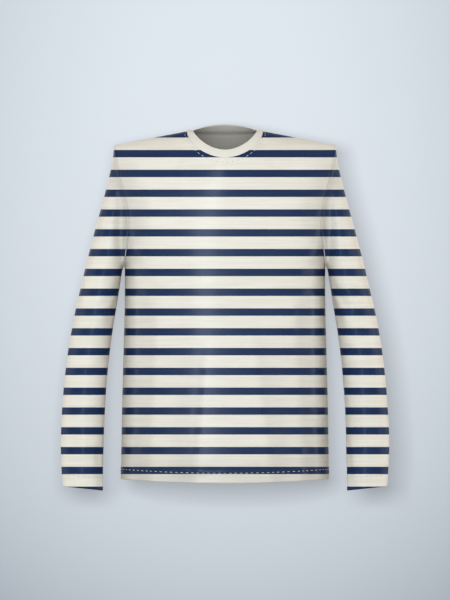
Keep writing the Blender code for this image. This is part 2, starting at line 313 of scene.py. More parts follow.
def sectionRing(section, angle):
    across = (1 - np.cos(angle)) / 2
    x = section["innerReach"] + (section["outerReach"] - section["innerReach"]) * across
    z = -section["innerDrop"] + (section["innerDrop"] - section["outerDrop"]) * across
    return np.stack([x, -section["halfDepth"] * np.sin(angle) - section["forward"], z], axis=-1)


def sectionAt(place):
    rows = np.arange(len(sleeveSections["innerDrop"]))
    return {name: float(smoothTable(rows, column, place)) for name, column in sleeveSections.items()}


def sleeveGrid():
    # the right sleeve as rings from its armhole seam down to the cuff
    count = coarse["ring"] * weave["ringDivisions"]
    index = np.arange(count) / weave["ringDivisions"]
    seam, climb = armholeLine(index, 0)
    inside, _ = armholeLine(index, shirt["seamLap"])
    angle = index * 2 * math.pi / coarse["ring"]
    first, second = sectionRing(sectionAt(0), angle), sectionRing(sectionAt(1), angle)
    down = unit(second - first)
    follow = smoothstep((climb - 0.04) / 0.40)
    lean = down + np.array([sleeve["underarmLean"], 0, 0])
    start = unit(follow * unit(seam - inside) + (1 - follow) * lean)
    seam = seam + start * shirt["seamGap"] + (1 - follow) * np.array([shirt["seamGap"], 0, 0])
    lap = seam + start * shirt["seamLap"]
    turn = smoothstep((climb - 0.25) / 0.65)
    leaving = unit((1 - turn) * start + turn * np.array([0, 0, -1.0]))
    reach = np.linalg.norm(first - lap, axis=-1, keepdims=True)
    rings = [seam + start * shirt["seamLap"] * s for s in (0.0, 0.35, 0.7, 1.0)]
    for s in np.linspace(0, 1, weave["capRings"] + 1)[1:-1] ** sleeve["capSpacing"]:
        rings.append(hermite(lap, leaving * reach * sleeve["capPull"], first, down * reach, s))
    last = len(sleeveSections["innerDrop"]) - 1
    places = list(np.linspace(0, last, last * weave["ringsPerSection"] + 1))
    cuff = [last - step / sleeve["cuffRun"] for step in weave["cuffSteps"]]
    places = [p for p in places if p < cuff[-1] - 0.04] + cuff[::-1]
    rings += [sectionRing(sectionAt(place), angle) for place in places]
    return np.array(rings)


def necklineRing(level):
    half = neckShares(weave["neckColumns"])
    across = np.concatenate([half, -half[-2::-1]])
    front, back = panelPoints(frontSide, across, level), panelPoints(backSide, across[-2:0:-1], level)
    ring = np.concatenate([front, back])
    ring[0, 1] = ring[len(across) - 1, 1] = 0.0
    return ring, np.concatenate([across, across[-2:0:-1]]) / half[0]


def necklineFrame():
    # the neckline with its outward normals and the way on over the band
    seam, share = necklineRing(1.0)
    under, _ = necklineRing(1 - 1e-5)
    along = unit(np.roll(seam, -1, axis=0) - np.roll(seam, 1, axis=0))
    outward = unit(np.cross(seam - under, along))
    for end in np.flatnonzero(np.abs(share) > 1 - 1e-9):
        outward[end] = unit(np.array([shoulderSlope * share[end], 0, 1.0]))
    inFront = seam[:, 1] < 0
    height, depth = (np.where(inFront, neckband[key][frontSide], neckband[key][backSide])
                     for key in ("height", "depthShare"))
    edge = np.stack([
        share * neckband["halfBreadth"],
        seam[:, 1] * depth,
        neckband["sideHeight"] + (height - neckband["sideHeight"]) * rounded(share, 1.9, 0.78),
    ], axis=-1)
    onward = unit(np.cross(outward, along))
    onward *= np.sign(np.sum(onward * (edge - seam), axis=-1, keepdims=True))
    return seam, edge, onward, outward


neckSeam, neckEdge, neckOnward, neckOutward = necklineFrame()


def neckbandGrid():
    # rings from the free edge down to the seam
    first = neckSeam + neckOnward * shirt["seamGap"]
    second = first + neckOnward * shirt["seamLap"]
    bend = second + neckOnward * np.linalg.norm(neckEdge - second, axis=-1, keepdims=True) * 0.45
    rings = [first, first + neckOnward * 0.0007, first + neckOnward * 0.0013, second]
    for s in (np.linspace(0, 1, neckband["rings"]) ** 0.8)[1:]:
        rings.append(second * (1 - s) ** 2 + bend * 2 * s * (1 - s) + neckEdge * s**2)
    return np.array(rings[::-1])


def gridNormals(points, closed, outward):
    across = np.roll(points, -1, 1) - np.roll(points, 1, 1) if closed else np.gradient(points, axis=1)
    normals = unit(np.cross(np.gradient(points, axis=0), across))
    return normals * np.sign(np.sum(normals * outward))


def distanceTo(points, line):
    # how far each point is from a line of points, and how far along the line its nearest point lies
    flat = points.reshape(-1, 3)
    length = pathLength(line)
    nearest, place = np.empty(len(flat)), np.empty(len(flat))
    for start in range(0, len(flat), 4000):
        gap = np.linalg.norm(flat[start:start + 4000, None] - line[None], axis=-1)
        found = gap.argmin(axis=1)
        nearest[start:start + 4000] = gap[np.arange(len(found)), found]
        place[start:start + 4000] = length[found]
    return nearest.reshape(points.shape[:-1]), place.reshape(points.shape[:-1])


# creases, listed one by one in millimetres: across and drop where one starts, the same where it ends, its
# bow, width and depth, and True where it runs out at its end; across is x on a panel
panelCreases = {
    frontSide: [
        (-176, 226, -112, 312, 10, 10.5, 1.7),
        (-184, 262, -150, 395, -12, 12.5, 1.5),
        (178, 232, 124, 300, -8, 10, 1.5),
        (184, 258, 143, 430, 12, 14, 1.6),
        (-158, 95, -166, 215, -6, 15, 1.8),
        (160, 105, 165, 222, 7, 14, 1.6),
        (-190, 470, -120, 505, 8, 11.5, 1.2),
        (190, 515, 138, 540, -6, 10.5, 1.2),
        (-83, 455, -94, 668, 4, 13, 0.6, True),
        (104, 505, 108, 668, -3, 12, 0.5, True),
        (-64, 30, -104, 98, 4, 8.5, 0.8),
        (66, 28, 98, 84, -4, 8, 0.7),
        (-196, 48, -150, 78, 3, 8.5, 0.8),
        (194, 44, 146, 68, -3, 8.5, 0.8),
        (-170, 560, -166, 664, 2, 10, 1.3, True),
        (165, 585, 163, 664, 2, 9.5, 1.2, True),
    ],
    backSide: [
        (-174, 222, -98, 318, 12, 11.5, 2.2),
        (-183, 258, -138, 420, -12, 13, 1.9),
        (176, 228, 108, 300, -10, 11, 2),
        (184, 262, 148, 405, 13, 13.5, 2),
        (-150, 80, -160, 210, -7, 15, 2),
        (152, 88, 158, 214, 8, 15.5, 2.1),
        (-60, 30, -20, 128, -6, 12, 1.2),
        (58, 34, 26, 140, 6, 11.5, 1.1),
        (-92, 170, -30, 262, 9, 14, 1.3),
        (12, 200, 86, 285, -9, 14, 1.3),
        (-190, 455, -108, 500, 9, 12.5, 1.6),
        (190, 480, 122, 516, -8, 11.5, 1.6),
        (6, 430, 0, 664, 4, 15, 1.7, True),
        (-84, 520, -86, 664, -3, 12, 1.4, True),
        (92, 500, 94, 664, 3, 12, 1.5, True),
        (168, 570, 165, 662, 2, 10, 1.3, True),
    ],
}

# on a sleeve, across is the way round from its inner edge by the front
sleeveCreases = {
    1: [
        (20, 272, 78, 352, 7, 9.5, 1.8),
        (4, 288, 34, 400, -6, 10, 1.9),
        (252, 274, 196, 360, -7, 10, 2),
        (8, 408, 70, 430, -6, 8, 1.3),
        (4, 446, 82, 452, 7, 8.5, 1.4),
        (266, 430, 200, 462, 7, 8.5, 1.7),
        (262, 480, 206, 474, -6, 8, 1.5),
        (120, 200, 128, 330, 4, 12, 1.1),
        (170, 300, 160, 470, 6, 13, 1.6),
        (92, 530, 104, 640, -3, 9, 1),
        (200, 540, 188, 655, 4, 9.5, 1.4),
        (20, 575, 30, 668, 3, 8.5, 1.3, True),
    ],
    -1: [
        (18, 276, 70, 344, 6, 9.5, 1.6),
        (2, 292, 40, 388, -7, 10, 1.8),
        (256, 270, 190, 348, -6, 10.5, 2),
        (6, 424, 66, 438, 6, 8.5, 1.4),
        (12, 470, 76, 462, -6, 8, 1.2),
        (262, 414, 194, 440, -7, 9, 1.7),
        (268, 462, 212, 482, 6, 8, 1.6),
        (126, 215, 120, 350, -4, 12, 1.1),
        (166, 320, 176, 500, -5, 12.5, 1.5),
        (86, 545, 80, 650, 3, 9, 0.9),
        (206, 520, 214, 640, -4, 9.5, 1.4),
        (32, 590, 24, 668, -3, 8, 1.2, True),
    ],
}


def creaseRelief(across, drop, creases, girth=None):
    # soft troughs with a low swell beside them, the higher one on the side they bow to
    relief = np.zeros(across.shape)
    for crease in creases:
        x0, d0, x1, d1, bow, width, depth = (size / 1000 for size in crease[:7])
        run = np.array([x1 - x0, d1 - d0])
        long = np.hypot(*run)
        run = run / long
        dx = across - x0
        if girth:
            middle = (x1 - x0) / 2
            dx = (dx - middle + girth / 2) % girth - girth / 2 + middle
        s = (dx * run[0] + (drop - d0) * run[1]) / long
        away = -dx * run[1] + (drop - d0) * run[0] - bow * 4 * s * (1 - s)
        wide = width * (0.75 + 0.5 * np.clip(s, 0, 1))
        side = away / wide
        swell = np.where(away * (1 if bow > 0 else -1) > 0, 0.50, 0.22)
        shape = -np.exp(-side**2) + swell * np.exp(-((np.abs(side) - 1.9) / 0.95) ** 2)
        ends = smoothstep(s / 0.40) * (1.0 if crease[7:] else smoothstep((1 - s) / 0.45))
        relief = relief + depth * shape * ends
    return relief


sewing = {
    "hollowDepth": 0.0024,  # the cloth falls in beside the armhole seam
    "hollowWidth": (0.022, 0.020),  # towards the body and towards the sleeve
    "hollowOut": 0.003,  # its deepest line from the seam, on the sleeve
    "hollowDrops": (0.020, 0.080, 0.205, 0.255),  # it grows between the first two and ends by the last
    "hemTuck": 0.0050,
    "hemTuckHeight": 0.050,
    "fullPaintedShade": 0.0040,  # the depth of a fold that has the whole of its painted shade
    "paintedArmholeShade": (1.5, 2.5),  # painted shade beside the armhole seam, on the body's side and on the sleeve's
    "paintedArmholeShadeWidth": (0.034, 0.024),
    # painted shade, darker towards the hem
    "paintedHemShade": 1.0,
    "paintedHemShadeHeight": 0.085,
    "uneven": (0.00022, 0.0003),  # of the open cloth, on the body and on the sleeves
    "grooveDepth": 0.0006,
    "grooveWidth": 0.0014,
    "allowanceLift": 0.00045,  # the seam allowance behind the cloth lifts it a little
    "allowanceWidth": 0.0062,
    "puckerDepth": 0.00032,
    "puckerLength": 0.0026,
    "puckerReach": 0.0075,
    "hemStitchHeight": 0.0178,
    "hemTurn": 0.0200,
    "cuffStitchHeight": 0.0216,
    "cuffTurn": 0.0247,
    "neckStitchWidth": (0.0045, 0.0102),  # from the neckband's seam, at the shoulders and in the middle
    "turnThickness": 0.0011,
    "turnLift": 0.0003,
    "ripple": 0.00035,  # of a turned edge
    "stitchGroove": 0.00035,
    "stitchGrooveWidth": 0.0009,
    "neckLift": 0.0004,  # over the allowance inside the neckline
    "stitchPitch": 0.0103,
    "stitchLength": 0.0066,
    "threadWidth": 0.0012,
}


def seamRelief(place, seed, allowance):
    away, along = place
    groove = -sewing["grooveDepth"] * np.exp(-(away / sewing["grooveWidth"]) ** 2)
    edge = sewing["allowanceWidth"]
    lift = allowance * sewing["allowanceLift"] * smoothstep(away / 0.0025) * (
        1 - smoothstep((away - edge + 0.001) / 0.002))
    pucker = sewing["puckerDepth"] * wobble(along / sewing["puckerLength"], seed)
    reach = away / sewing["puckerReach"]
    return groove + lift + pucker * reach * np.exp(1 - reach) * 0.8


def armholeHollow(points, outward):
    # outward is how far each point is from the armhole seam, on to the sleeve
    inner, outer = sewing["hollowWidth"]
    fromMiddle = outward - sewing["hollowOut"]
    width = np.where(fromMiddle < 0, inner, outer)
    drop, y = -points[..., 2], points[..., 1]
    start, full, fading, end = sewing["hollowDrops"]
    window = smoothstep((drop - start) / (full - start)) * (1 - smoothstep((drop - fading) / (end - fading)))
    window = window * smoothstep(np.abs(y) / 0.03)
    shift = np.zeros(points.shape)
    shift[..., 1] = -np.sign(y) * sewing["hollowDepth"] * window * np.exp(-(fromMiddle / width) ** 2)
    # besides the hollow, it gives painted shade beside the seam, wider on the body's side and stronger on the
    # sleeve's
    onSleeve = int(outward.max() > 0)
    reach = sewing["paintedArmholeShadeWidth"][onSleeve]
    return shift, window * sewing["paintedArmholeShade"][onSleeve] * np.exp(-(outward / reach) ** 2)


def neckStitchWidth(share):
    least, most = sewing["neckStitchWidth"]
    return least + (most - least) * np.clip(1 - share**2, 0, 1) ** 1.2


def stitchGroove(away, height):
    return -sewing["stitchGroove"] * np.exp(-((away - height) / sewing["stitchGrooveWidth"]) ** 2)


def turnedEdge(away, edge, along, seed):
    # the double cloth stands out a little, drawn in along its stitches, and ripples
    height = sewing[edge + "StitchHeight"]
    ripple = sewing["ripple"] * wobble(along / 0.011, seed) * np.exp(-((away - height) / 0.010) ** 2)
    lift = sewing["turnLift"] * (1 - smoothstep((away - sewing[edge + "Turn"]) / 0.002))
    return lift + stitchGroove(away, height) + ripple


def smoothMesh(name, points, faces):
    # a smooth mesh with its faces turned outwards
    mesh = bpy.data.meshes.new(name)
    mesh.from_pydata(points.tolist(), [], faces)
    work = bmesh.new()
    work.from_mesh(mesh)
    bmesh.ops.recalc_face_normals(work, faces=work.faces)
    work.to_mesh(mesh)
    work.free()
    mesh.shade_smooth()
    return mesh


def clothMesh(name, outer, inner, edgeOut, closed, turnedRows, knit):
    # one closed wall: the outer face from its seam to its free edge, the rim, and the inner face
    rows, columns = outer.shape[:2]
    middle, half = (outer[0] + inner[0]) / 2, (outer[0] - inner[0]) / 2
    reach = np.linalg.norm(half, axis=-1, keepdims=True)
    rim = [middle + half * math.cos(a) + edgeOut * reach * math.sin(a) for a in np.radians([45, 90, 135])]
    stack = np.concatenate([outer[::-1], np.array(rim), inner])
    total = len(stack)
    place = np.concatenate([knit[::-1], np.repeat(knit[:1], len(rim), axis=0), knit])
    number = np.arange(total * columns).reshape(total, columns)
    loop = closedLine(number)
    if closed:
        loop = np.concatenate([loop, loop[:, :1]], axis=1)
    faces = np.stack([loop[:-1, :-1], loop[:-1, 1:], loop[1:, 1:], loop[1:, :-1]], axis=-1)
    finish = np.zeros(faces.shape[:2], int)
    finish[rows + len(rim) + turnedRows:total - 1] = 1
    faces, finish = faces.reshape(-1, 4).tolist(), finish.reshape(-1).tolist()
    if not closed:
        for column in (0, columns - 1):
            for r in range(rows - 1):
                faces.append([number[i, column] for i in (r, r + 1, total - 2 - r, total - 1 - r)])
            faces.append([number[i, column] for i in range(rows - 1, rows + len(rim) + 1)])
        finish += [0] * 2 * rows
    mesh = smoothMesh(name, stack.reshape(-1, 3), faces)
    mesh.polygons.foreach_set("material_index", finish)
    mesh.set_sharp_from_angle(angle=math.radians(58))
    attribute = mesh.attributes.new("knitPlaceAndPaintedShade", "FLOAT_VECTOR", "POINT")
    attribute.data.foreach_set("vector", place.reshape(-1).astype(np.float32))
    return mesh


def addObject(name, data):
    made = bpy.data.objects.new(name, data)
    bpy.context.scene.collection.objects.link(made)
    return made


def addPiece(name, mesh, node, finishes):
    piece = addObject(name, mesh)
    for finish in finishes:
        mesh.materials.append(finish)
    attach(piece, "root")
    if node:
        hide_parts(node)
    return piece


def paintedFoldShade(depth, relief, more):
    # painted shade: 0 on open cloth and 1 deep in a fold, and more given beside the armholes and at the hem
    deep = (depth + np.clip(-relief, 0, None)) / sewing["fullPaintedShade"]
    return np.clip(deep, 0, 1.3) + more


def knitPlacesAndPaintedShade(points, closed, paintedShade=0.0):
    # arc lengths round and along a piece, which its knit follows, and its painted shade
    middle = points.shape[1] // 2
    across = pathLength(points.swapaxes(0, 1)).T
    if not closed:
        across = across - across[:, middle, None]
    along = pathLength(points[:, middle])[:, None]
    return np.stack(np.broadcast_arrays(across, along, paintedShade), axis=-1)


def jerseyPiece(name, node, points, normals, relief, hollow, paintedShade, edge, closed, side=1):
    # a piece with a turned edge, from its hem or cuff up; side is -1 for one that is mirrored
    turn, up = sewing[edge + "Turn"], pathLength(points)
    outer = points + normals * relief[..., None] + hollow
    thick = shirt["jersey"] + sewing["turnThickness"] * (1 - smoothstep((up - turn) / 0.0007))
    inner = outer - normals * thick[..., None]
    points, outer, inner, normals = (grid * [side, 1, 1] for grid in (points, outer, inner, normals))
    turned = int(np.searchsorted(weave[edge + "Steps"], turn))
    mesh = clothMesh(name, outer, inner, unit(points[0] - points[2]), closed, turned,
                     knitPlacesAndPaintedShade(points, closed, paintedShade))
    return addPiece(name, mesh, node, [stripedJersey, jerseyInside]), outer, normals


class Value:
    # a socket whose sums and products add their own Math nodes
    def __init__(self, finish, socket):
        self.finish, self.socket = finish, socket

    def maths(self, operation, *others):
        return self.finish.node("Math", {"operation": operation}, dict(enumerate((self,) + others)))

    def flipped(self, operation, other):
        return self.finish.node("Math", {"operation": operation}, {0: other, 1: self})

    def __add__(self, other):
        return self.maths("ADD", other)

    def __sub__(self, other):
        return self.maths("SUBTRACT", other)

    def __mul__(self, other):
        return self.maths("MULTIPLY", other)

    def __truediv__(self, other):
        return self.maths("DIVIDE", other)

    def __rsub__(self, other):
        return self.flipped("SUBTRACT", other)

    def __rtruediv__(self, other):
        return self.flipped("DIVIDE", other)

    def __abs__(self):
        return self.maths("ABSOLUTE")

    __radd__, __rmul__ = __add__, __mul__


class Finish:
    def __init__(self, name):
        self.material = bpy.data.materials.new(name)
        self.material.use_nodes = True
        self.tree = self.material.node_tree
        self.tree.nodes.clear()

    def node(self, kind, settings=None, sockets=None, take=0):
        made = self.tree.nodes.new("ShaderNode" + kind)
        for key, value in (settings or {}).items():
            setattr(made, key, value)
        for key, value in (sockets or {}).items():
            if isinstance(value, Value):
                self.tree.links.new(value.socket, made.inputs[key])
            else:
                made.inputs[key].default_value = value
        return Value(self, made.outputs[take]) if made.outputs else made

    def place(self):
        return self.node("TexCoord", take="Object")

    def knit(self):
        # how far round and along its piece a point of the cloth lies, and its painted shade
        return self.parts(self.node("Attribute", {"attribute_name": "knitPlaceAndPaintedShade"}, take="Vector"))

    def parts(self, vector):
        split = self.node("SeparateXYZ", None, {0: vector}).socket.node
        return [Value(self, part) for part in split.outputs]

    def stretched(self, vector, scale):
        return self.node("VectorMath", {"operation": "MULTIPLY"}, {0: vector, 1: scale})

    def noise(self, vector, scale, detail=2.0):
        sockets = {"Vector": vector, "Scale": scale, "Detail": detail, "Roughness": 0.55}
        return self.node("TexNoise", None, sockets)

    def step(self, value, low, high):
        # 0 below low, 1 above high and smooth between
        return self.node("MapRange", {"interpolation_type": "SMOOTHSTEP"},
                         {"Value": value, "From Min": low, "From Max": high})

    def mixed(self, factor, first, second):
        return self.node("Mix", {"data_type": "RGBA"}, {0: factor, 6: first, 7: second}, take=2)

    def shaded(self, uniform, varying, bump, strength, distance):
        normal = self.node("Bump", None, {"Strength": strength, "Distance": distance, "Height": bump})
        sockets = {"Metallic": 0.0, **uniform, **varying, "Normal": normal}
        return self.toOutput(self.node("BsdfPrincipled", None, sockets))

    def toOutput(self, shader):
        self.node("OutputMaterial", None, {"Surface": shader})
        return self.material


stripes = {
    "pitch": 0.0378,
    "middle": -0.0043,  # height of the top stripe's middle
    "halfHeight": 0.0071,
    "edge": 0.0004,
    "cream": (0.718, 0.650, 0.548, 1),
    "navy": (0.0062, 0.0190, 0.0590, 1),
    "creamStreak": (0.666, 0.596, 0.493, 1),
    "navyStreak": (0.0090, 0.0240, 0.0680, 1),
    "paintedFoldShade": 0.11,  # how much darker the cloth is painted deep in a fold, beside the armholes and towards the hem, as shade
    # the dark colour that the painted shade mixes in
    "paintedShadeColour": (0.02, 0.02, 0.025, 1),
    "roughness": 0.62,
    "specular": 0.06,
    "sheen": 0.25,  # a smooth pressed finish over the knit
    "sheenRoughness": 0.23,
    "dull": 0.85,  # the share of its sheen that the cloth loses on the shoulders
    "dullFrom": (-0.030, -0.012),  # between these heights
    "dullSleeves": 0.6,
    "sleevesFrom": (0.185, 0.225),  # between these distances from the middle
}

knitSizes = {"wale": 0.0013, "course": 0.0010, "strength": 0.30, "distance": 0.00025}


def knitHeight(finish):
    # rows of small V stitches
    across, along, _ = finish.knit()
    wale = abs((across / knitSizes["wale"]).maths("FRACT") - 0.5)
    course = ((along / knitSizes["course"] + wale * 0.9) * (2 * math.pi)).maths("COSINE")
    return (wale * math.pi).maths("COSINE") * (0.65 + 0.35 * course)


def yarnStreaks(finish, place):
    # slubs in the yarn: long thin streaks that run level round the cloth
    thin = finish.noise(finish.stretched(place, (9.0, 9.0, 330.0)), 1.0, 3.0)
    broad = finish.noise(finish.stretched(place, (14.0, 14.0, 60.0)), 1.0, 2.0)
    return finish.step(thin * 0.7 + broad * 0.3, 0.36, 0.64)


def jerseyFinish():
    finish = Finish("stripedJersey")
    place = finish.place()
    across, _, height = finish.parts(place)
    streak = yarnStreaks(finish, place)
    turn = abs(((height - stripes["middle"]) / stripes["pitch"] + 0.5).maths("FLOORED_MODULO", 1.0) - 0.5)
    fromMiddle = turn * stripes["pitch"] + (finish.noise(place, 700.0, 1.0) - 0.5) * 0.0004
    half, edge = stripes["halfHeight"], stripes["edge"]
    navy = 1 - finish.step(fromMiddle, half - edge, half + edge)
    cream = finish.mixed(streak, stripes["creamStreak"], stripes["cream"])
    dark = finish.mixed(streak, stripes["navyStreak"], stripes["navy"])
    sheen = stripes["sheen"] * (1 - stripes["dull"] * finish.step(height, *stripes["dullFrom"]))
    sheen = sheen * (1 - stripes["dullSleeves"] * finish.step(abs(across), *stripes["sleevesFrom"]))
    # painted shade: darker in folds and creases, beside the armholes and towards the hem
    paintedShadeAmount = finish.knit()[2] * stripes["paintedFoldShade"]
    colour = finish.mixed(paintedShadeAmount, finish.mixed(navy, cream, dark), stripes["paintedShadeColour"])
    patch = finish.noise(place, 14.0, 2.0)
    roughness = stripes["roughness"] + (patch - 0.5) * 0.08 + streak * 0.03
    return finish.shaded(
        {"Specular IOR Level": stripes["specular"], "Coat Roughness": stripes["sheenRoughness"]},
        {"Base Color": colour, "Roughness": roughness, "Coat Weight": sheen},
        knitHeight(finish) + streak * 0.35, knitSizes["strength"], knitSizes["distance"],
    )


# painted shade: the inside of the jersey is its cream painted darker, and the inside of the rib darker still
insideLookWithPaintedShade = {"jersey": (0.54, 0.494, 0.42, 1), "rib": (0.46, 0.42, 0.36, 1), "streak": 0.97,
              "roughness": 0.85}


def insideFinish(cloth):
    finish = Finish(cloth + "Inside")
    place = finish.place()
    streak = yarnStreaks(finish, place)
    colour = insideLookWithPaintedShade[cloth]
    thin = [part * insideLookWithPaintedShade["streak"] for part in colour[:3]] + [1]
    return finish.shaded(
        {"Specular IOR Level": 0.1, "Roughness": insideLookWithPaintedShade["roughness"]},
        {"Base Color": finish.mixed(streak, thin, colour)},
        knitHeight(finish), 0.25, knitSizes["distance"],
    )


# groove is the rib's cream painted darker, as shade in its grooves
ribLook = {"cream": (0.705, 0.640, 0.545, 1), "groove": (0.650, 0.585, 0.490, 1), "pitch": 0.0021,
           "course": 0.0011, "roughness": 0.55}


def ribFinish():
    finish = Finish("creamRib")
    place = finish.place()
    across, along, _ = finish.knit()
    turn = across / ribLook["pitch"]
    rib = (turn * (2 * math.pi)).maths("COSINE") * 0.5 + 0.5
    course = ((along / ribLook["course"] + abs(turn.maths("FRACT") - 0.5)) * (2 * math.pi)).maths("COSINE")
    # painted shade in the rib's grooves, mixed with a random tone
    tint = rib * 0.6 + finish.noise(place, 260.0, 3.0) * 0.4
    return finish.shaded(
        {"Specular IOR Level": 0.2},
        {"Base Color": finish.mixed(tint, ribLook["groove"], ribLook["cream"]),
         "Roughness": ribLook["roughness"] + (1 - rib) * 0.1},
        rib + course * 0.2, 0.35, 0.0003,
    )


# dark is the thread painted darker, as shade in the grooves of its twist
threadLook = {"pale": (0.56, 0.55, 0.53, 1), "dark": (0.43, 0.425, 0.41, 1), "roughness": 0.6}


def threadFinish():
    finish = Finish("sewingThread")
    place = finish.place()
    x, y, z = finish.parts(place)
    twist = ((x + y * 0.8 + z * 1.3) * 5200.0).maths("SINE") * 0.5 + 0.5
    # painted shade in the twist's grooves, mixed with a random tone
    tint = twist * 0.7 + finish.noise(place, 300.0, 1.0) * 0.3
    return finish.shaded(
        {"Specular IOR Level": 0.3},
        {"Base Color": finish.mixed(tint, threadLook["dark"], threadLook["pale"]),
         "Roughness": threadLook["roughness"] + twist * 0.05},
        twist, 0.5, 0.0002,
    )


stripedJersey, creamRib, sewingThread = jerseyFinish(), ribFinish(), threadFinish()
jerseyInside, ribInside = insideFinish("jersey"), insideFinish("rib")
print("finishes made")


def panelPiece(panel, name, node):
    points = panelGrid(panel)
    normals = gridNormals(points, False, [0, panel, 0])
    across, drop = points[..., 0], -points[..., 2]
    columns = points.shape[1]
    sideCount = (columns - 1) // 2 - weave["neckColumns"]
    underarm = len(weave["hemSteps"]) + weave["trunkRows"] - 1  # its row
    creased = creaseRelief(across, drop, panelCreases[panel])
    relief = creased.copy()
    hollow, paintedShade = np.zeros(points.shape), np.zeros(across.shape)
    for column, seed in ((0, 1.0), (columns - 1, 2.0)):
        relief += seamRelief(distanceTo(points, points[:underarm + 1, column]), seed + panel, 0.0)
        armhole = distanceTo(points, points[underarm:, column])
        relief += seamRelief(armhole, seed + 3 * panel, 0.0)
        beside = armholeHollow(points, -armhole[0])
        hollow, paintedShade = hollow + beside[0], paintedShade + beside[1]
    for part, seed in ((slice(0, sideCount + 1), 4.0), (slice(columns - 1 - sideCount, columns), 5.0)):
        relief += seamRelief(distanceTo(points, points[-1, part]), seed, float(panel == backSide))
    neckLine = points[-1, sideCount:columns - sideCount]
    awayNeck, alongNeck = distanceTo(points, neckLine)
    relief += seamRelief((awayNeck, alongNeck), 6.0 + panel, 0.0)
    share = neckLine[:, 0] / (shirt["neckBreadth"] / 2)
    width = np.interp(alongNeck, pathLength(neckLine), neckStitchWidth(share))
    relief += sewing["neckLift"] * smoothstep(awayNeck / 0.002) * (1 - smoothstep((awayNeck - width) / 0.002))
    relief += stitchGroove(awayNeck, width)
    up = pathLength(points)
    relief += turnedEdge(up, "hem", across, 1.5 + panel)
    # far from the seams' creases the cloth still isn't dead flat
    uneven = wobble(across * 38 + drop * 9, 2.0 + panel) * wobble(drop * 31 - across * 7, 0.7)
    relief += sewing["uneven"][0] * uneven
    relief -= sewing["hemTuck"] * (1 - smoothstep(up / sewing["hemTuckHeight"])) * normals[..., 1] ** 2
    # painted shade, darker towards the hem, in the folds and creases and beside the armholes
    paintedShade = paintedShade + sewing["paintedHemShade"] * (1 - smoothstep(up / sewing["paintedHemShadeHeight"]))
    paintedShade = paintedFoldShade(foldDepth(panel, across, -drop, sewing["fullPaintedShade"]), creased, paintedShade)
    return jerseyPiece(name, node, points, normals, relief, hollow, paintedShade, "hem", False)


frontPiece, frontOuter, frontNormals = panelPiece(frontSide, "frontPanel", "front")
backPiece, backOuter, backNormals = panelPiece(backSide, "backPanel", "back")
print("front and back made:", len(frontPiece.data.polygons), len(backPiece.data.polygons), "faces")


def sleevePiece(side, name, node, rings):
    normals = gridNormals(rings, True, rings - rings.mean(axis=1, keepdims=True))
    share = np.arange(rings.shape[1]) / rings.shape[1] + np.zeros(rings.shape[:2])
    across, drop = share * sleeve["girth"], -rings[..., 2]
    down, up = pathLength(rings[::-1])[::-1], pathLength(rings)
    creased = creaseRelief(across, drop, sleeveCreases[side], sleeve["girth"]) * smoothstep(down / 0.02)
    armhole = distanceTo(rings, closedLine(rings[-1]))
    relief = creased + seamRelief(armhole, 7.0 + side, 1.0)
    relief += seamRelief(distanceTo(rings, rings[::-1, 0]), 9.0 + side, 0.0)
    relief += turnedEdge(up, "cuff", across, 2.5 + side)
    uneven = np.sin(share * 4 * math.pi + drop * 17 + side) * wobble(drop * 36, 1.3 + side)
    relief += sewing["uneven"][1] * uneven * smoothstep(down / 0.03)
    # painted shade beside the armhole and in the creases
    hollow, paintedShade = armholeHollow(rings, armhole[0])
    paintedShade = paintedFoldShade(0.0, creased, paintedShade)
    return jerseyPiece(name, node, rings, normals, relief, hollow, paintedShade, "cuff", True, side)


sleeveRings = sleeveGrid()[::-1]
rightPiece, rightOuter, rightNormals = sleevePiece(1, "sleeveRight", "sleeve_right", sleeveRings)
leftPiece, leftOuter, leftNormals = sleevePiece(-1, "sleeveLeft", "sleeve_left", sleeveRings)
print("sleeves made:", len(rightPiece.data.polygons), "faces each")


def neckbandPiece():
    points = neckbandGrid()
    normals = gridNormals(points, True, neckOutward)
    down = pathLength(points)
    wide = down[-1]
    relief = neckband["crown"] * np.sin(np.clip(down / wide, 0, 1) * math.pi)
    relief += seamRelief(distanceTo(points, closedLine(points[-1])), 3.0, 0.0)
    outer = points + normals * relief[..., None]
    thick = shirt["jersey"] + (shirt["rib"] - shirt["jersey"]) * smoothstep((wide - down) / 0.005)
    inner = outer - normals * thick[..., None]
    # its last rows lie on the inside of the panels, under their neckline
    below = np.array([necklineRing(level)[0] for level in 1 - 0.05 * np.linspace(0, 1, 240) ** 3])
    for row, reach in ((-3, 0.0002), (-2, 0.0022), (-1, neckband["innerReach"])):
        inner[row] = lineAt(below, reach) - neckOutward * (shirt["jersey"] + 0.0002)
    mesh = clothMesh("neckbandRib", outer, inner, unit(points[0] - points[2]), True, -2,
                     knitPlacesAndPaintedShade(points, True))
    return addPiece("neckbandRib", mesh, "neckband", [creamRib, ribInside])


bandPiece = neckbandPiece()
print("neckband made")


def layOn(line, outer, normals):
    # moves a line on to the cloth, at each point's nearest place
    flat, ways = outer.reshape(-1, 3), normals.reshape(-1, 3)
    near = [((flat - point) ** 2).sum(axis=1).argmin() for point in line]
    way = ways[near]
    return line - way * np.sum((line - flat[near]) * way, axis=-1, keepdims=True), way


